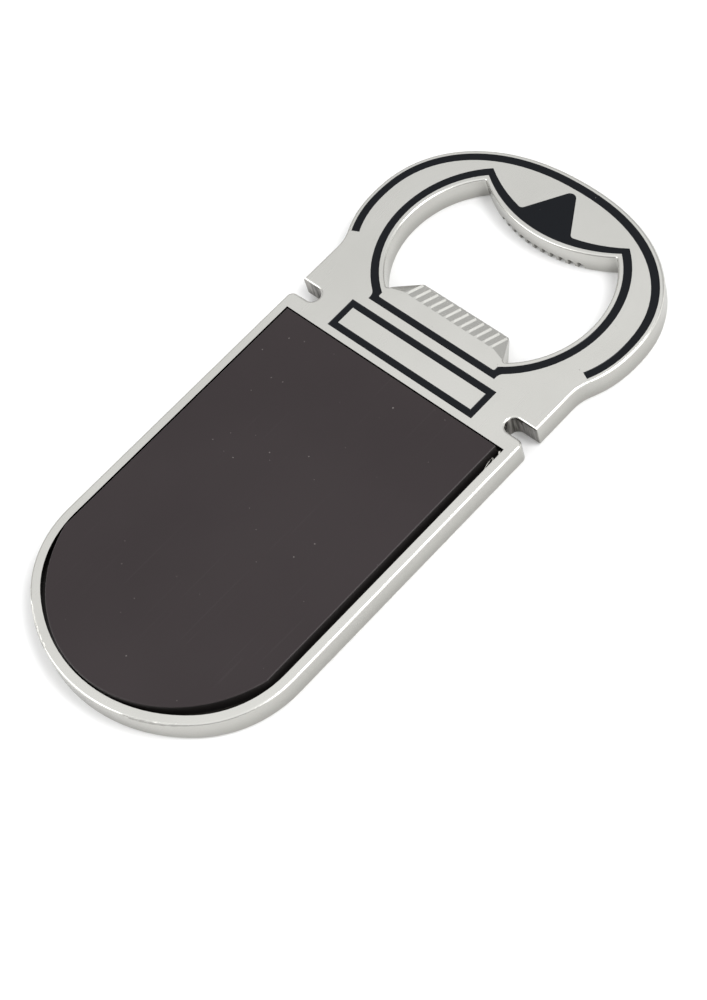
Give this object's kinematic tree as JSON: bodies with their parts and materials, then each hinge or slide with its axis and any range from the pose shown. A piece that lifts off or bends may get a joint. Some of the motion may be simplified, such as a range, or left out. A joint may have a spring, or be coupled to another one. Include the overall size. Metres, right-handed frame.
{
  "type": "bottle opener",
  "caption": "Flat cast-metal bottle opener with an oval head, a ribbed lip and tooth in the cap opening, black enamel lines and a tongue-shaped fridge magnet set in the handle.",
  "frame": {"origin": "middle of the plate's length and width, on the front face that it lies on", "axes": "+Z out of the magnet's face, +Y along the length towards the opener head, +X across; symmetric about X = 0"},
  "size_m": [0.0476, 0.0984, 0.0044],
  "materials": {
    "nickel_plate": "bright nickel plating, slightly satin",
    "black_enamel": "gloss",
    "magnet_sheet": "satin",
    "dark_glue": "gloss, black with magnet dust",
    "glue": "satin",
    "printed_plate": "printed and clear-lacquered"
  },
  "bodies": {
    "root": {"cast_body": "nickel_plate", "back_outer_arc_enamel": "black_enamel", "back_opening_line_enamel": "black_enamel", "back_panel_frame_enamel": "black_enamel", "front_outer_arc_enamel": "black_enamel", "front_opening_line_enamel": "black_enamel", "front_panel_frame_enamel": "black_enamel", "magnet": "magnet_sheet", "magnet_glue": "dark_glue", "picture_plate": "printed_plate", "picture_glue": "glue"}
  },
  "joints": []
}
